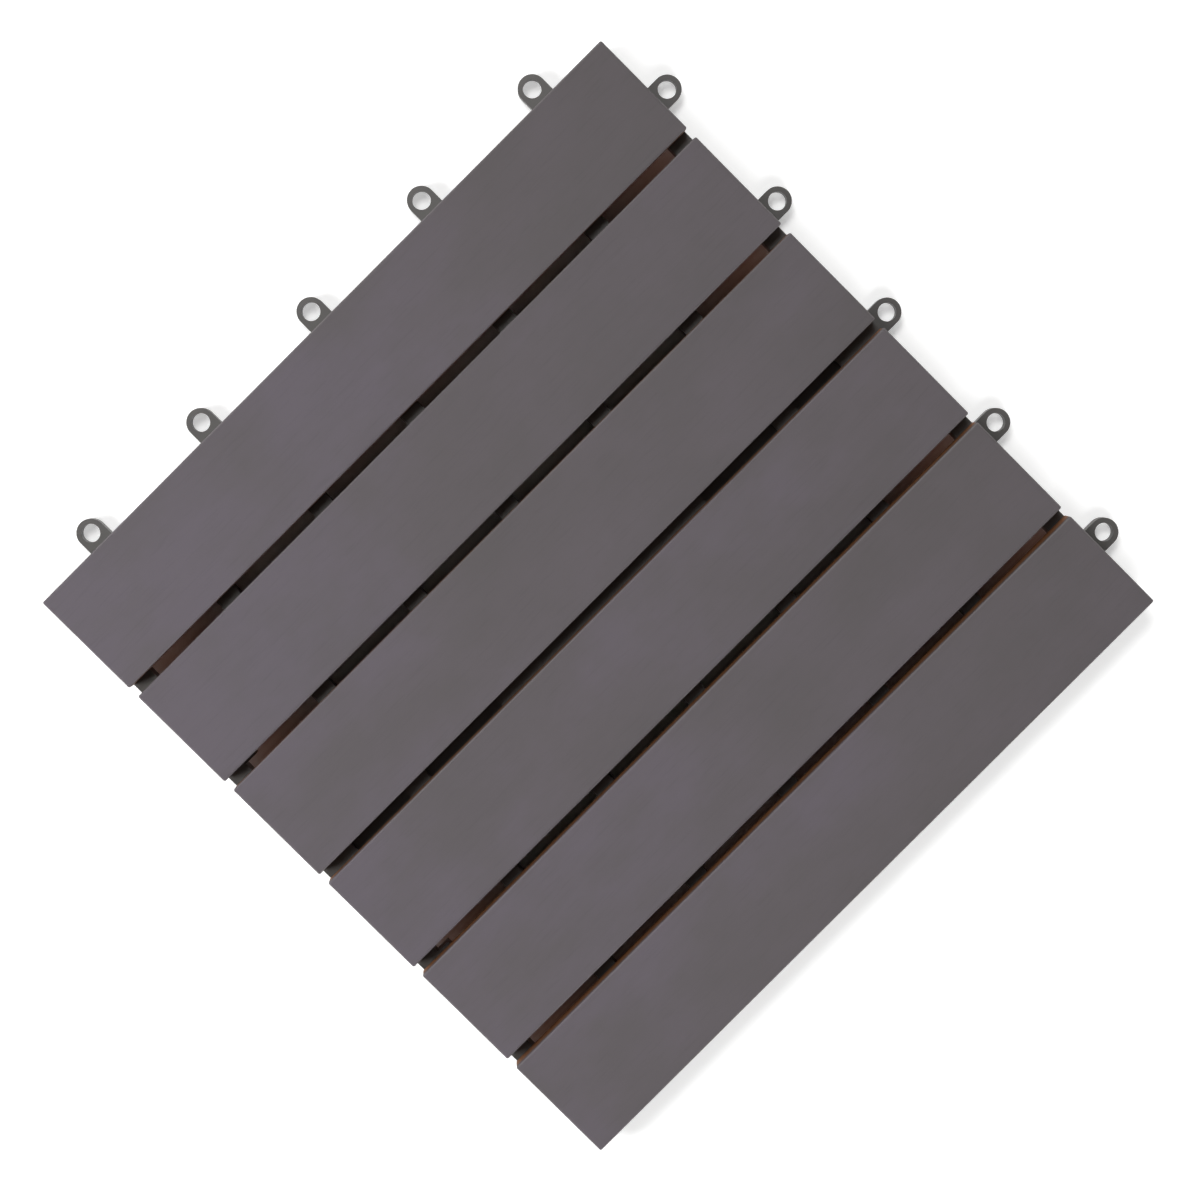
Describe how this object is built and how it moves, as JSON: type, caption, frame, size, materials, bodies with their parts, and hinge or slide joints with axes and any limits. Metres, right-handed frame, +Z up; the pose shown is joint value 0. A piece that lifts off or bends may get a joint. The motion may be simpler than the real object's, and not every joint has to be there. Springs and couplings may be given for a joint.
{
  "type": "interlocking deck tile",
  "caption": "Square outdoor deck tile of stained hardwood slats screwed to a moulded plastic grid base with connecting loops on two sides and pins on the other two.",
  "frame": {"origin": "middle of the 300 mm square of slats, on the ground under the base's middle foot", "axes": "+Z up; +Y along the slats, towards the side whose loops stand out at the slat ends; -X towards the side whose loops stand out beside the first slat"},
  "size_m": [0.3121, 0.3121, 0.024],
  "materials": {
    "stained_wood": "smooth matt grey stain",
    "moulded_base": "moulded polypropylene, dark grey, satin",
    "screw_steel": "zinc plated"
  },
  "bodies": {
    "root": {"slat_1": "stained_wood", "slat_2": "stained_wood", "slat_3": "stained_wood", "slat_4": "stained_wood", "slat_5": "stained_wood", "slat_6": "stained_wood", "base_grid": "moulded_base", "slat_screws": "screw_steel"}
  },
  "joints": []
}
